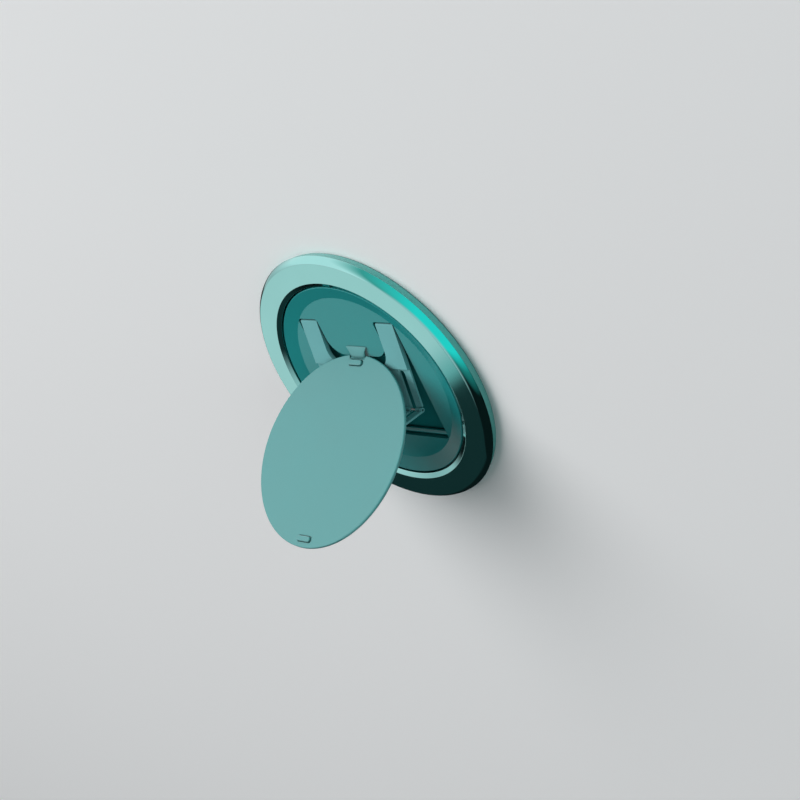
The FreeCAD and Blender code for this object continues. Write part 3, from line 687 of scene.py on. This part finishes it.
# The photo's camera; its focal length and width are in pixels, and its clipping in metres
SENSOR_WIDTH, PHOTO_FOCAL, PHOTO_WIDTH = 36.0, 1899.56, 800.0
CLIP_START, CLIP_END = 0.01, 20.0
CAMERA_PLACE = Vector((274.722, 158.038, 192.45))
CAMERA_RIGHT = Vector((0.67752, -0.40528, -0.61377))
CAMERA_UP = Vector((-0.06169, 0.80023, -0.59651))
CAMERA_BACK = Vector((0.73291, 0.44202, 0.51717))
# The floor; its half width is in metres
FLOOR_HALF, FLOOR_DROP = 3.0, 0.02
FLOOR_COLOURS = (0.94, 0.944, 0.948), (0.955, 0.959, 0.963)
FLOOR_ROUGHNESS, FLOOR_GLOSS = 0.7, 0.2
# The lamps, how far they stand from what they light, in metres
LAMP_DISTANCE, LAMP_AIM = 1.2, Vector((0, 0, 0.01))
# The even light from all round
SKY, SKY_STRENGTH = (0.95, 0.97, 1.0), 0.15

# Studio panels that the glossy surfaces show, round the part in degrees from +X towards +Y
DARK = (0.005, 0.010, 0.010)
TEAL = (0.03, 0.25, 0.23)
AQUA = (0.045, 0.86, 0.80)
DEEP = (0.10, 0.44, 0.40)
WHITE = (1.0, 1.0, 1.0)
GREY = (0.50, 0.56, 0.56)
PALE = (0.75, 0.79, 0.78)
TURN = (0.25, 0.48, 0.47)
SHADE = (0.013, 0.032, 0.032)
CEILING = (0.65, 0.72, 0.72)
PANELS = [
    (-90, DARK),
    (-34, DARK),
    (-14, TEAL),
    (4, AQUA),
    (44, AQUA),
    (94, DEEP),
    (122, WHITE),
    (158, WHITE),
    (178, GREY),
    (203.5, PALE),
]
TURN_SPAN = (210.3, 212.5)
PALE_END = (212.1, 213.1)
LOW_SIDE = (183, 190)
LOW_RISE = (8, 22)
CEILING_RISE = (52, 76)


def add_camera():
    """The camera, where the photograph was taken from."""
    data = bpy.data.cameras.new("camera")
    data.sensor_width = SENSOR_WIDTH
    data.lens = SENSOR_WIDTH * PHOTO_FOCAL / PHOTO_WIDTH
    data.clip_start = CLIP_START
    data.clip_end = CLIP_END
    camera = bpy.data.objects.new("camera", data)
    scene.collection.objects.link(camera)
    turn = Matrix((CAMERA_RIGHT, CAMERA_UP, CAMERA_BACK)).transposed().to_4x4()
    camera.matrix_world = Matrix.Translation(CAMERA_PLACE * MM) @ turn
    scene.camera = camera


def add_floor():
    """A plain pale floor that mirrors and metal do not show."""
    mesh = bpy.data.meshes.new("floor")
    sides = (-1, -1), (1, -1), (1, 1), (-1, 1)
    corners = [(x * FLOOR_HALF, y * FLOOR_HALF, 0) for x, y in sides]
    mesh.from_pydata(corners, [], [(0, 1, 2, 3)])
    n = Finish("floor")
    n.dress(
        {
            "Base Color": n.mix(n.remap(n.noise(scale=3), 0, 1), *FLOOR_COLOURS),
            "Roughness": FLOOR_ROUGHNESS,
            "Specular IOR Level": FLOOR_GLOSS,
        }
    )
    mesh.materials.append(n.material)
    floor = bpy.data.objects.new("floor", mesh)
    floor.location.z = -FLOOR_DROP * MM
    floor.visible_glossy = False
    scene.collection.objects.link(floor)


def add_area(name, direction, size, power, colour=WHITE):
    """A square lamp that mirrors and metal do not show."""
    data = bpy.data.lights.new(name, "AREA")
    data.shape = "SQUARE"
    data.size = size
    data.energy = power
    data.color = colour
    light = bpy.data.objects.new(name, data)
    away = Vector(direction).normalized()
    light.location = away * LAMP_DISTANCE + LAMP_AIM
    light.rotation_euler = away.to_track_quat("Z", "Y").to_euler()
    light.visible_glossy = False
    scene.collection.objects.link(light)


def turn_share(degrees):
    """How far round it is, from the dark side at -Y, as a share of the whole turn."""
    return (degrees + 90) / 360


def height_share(degrees):
    """How high a direction points that rises by so many degrees."""
    return math.sin(math.radians(degrees))


def add_world():
    """Soft studio surroundings: an even pale light, and panels for the glossy surfaces."""
    world = bpy.data.worlds.new("studio")
    scene.world = world
    world.use_nodes = True
    n = Nodes(world.node_tree, "Generated")
    axes = n.axes()

    # The angle is counted from +Y, so that it wraps round on the dark side at -Y
    angle = n.math("ARCTAN2", n.math("MULTIPLY", axes["X"], -1.0), axes["Y"])
    share = n.math("ADD", n.math("DIVIDE", angle, 2 * math.pi), 0.5)
    ramp = n.add("ShaderNodeValToRGB", {"Fac": share})
    stops = ramp.color_ramp.elements
    while len(stops) < len(PANELS):
        stops.new(0.5)
    for stop, (degrees, colour) in zip(stops, PANELS):
        stop.position = turn_share(degrees)
        stop.color = (*colour, 1.0)

    def across(span):
        return n.remap(share, 0, 1, *map(turn_share, span), kind="SMOOTHSTEP")

    def up(span):
        return n.remap(axes["Z"], 0, 1, *map(height_share, span), kind="SMOOTHSTEP")

    # The pale panel turns teal and then dark, and low down that side is darker still
    seen = n.mix(across(TURN_SPAN), ramp.outputs["Color"], TURN)
    seen = n.mix(across(PALE_END), seen, SHADE)
    low = n.math("SUBTRACT", 1.0, up(LOW_RISE))
    seen = n.mix(n.math("MULTIPLY", across(LOW_SIDE), low), seen, DARK)
    seen = n.mix(up(CEILING_RISE), seen, CEILING)

    plain = n.tree.nodes["Background"]
    n.put(SKY, plain.inputs["Color"])
    n.put(SKY_STRENGTH, plain.inputs["Strength"])
    panels = n.add("ShaderNodeBackground", {"Color": seen})
    glossy = n.add("ShaderNodeLightPath").outputs["Is Glossy Ray"]
    choose = n.add("ShaderNodeMixShader", {"Fac": glossy})
    for socket, light in zip(choose.inputs[1:], (plain, panels)):
        n.put(light.outputs["Background"], socket)
    n.put(choose.outputs["Shader"], n.tree.nodes["World Output"].inputs["Surface"])


add_camera()
build_rings()
build_shapes()
add_floor()
add_world()
add_area("key", direction=(-0.38, 0.62, 0.68), size=1.2, power=13.6)
add_area("side", direction=(0.85, 0.15, 0.5), size=0.8, power=2.0, colour=(0.85, 1.0, 1.0))
scene.view_settings.view_transform = "Standard"
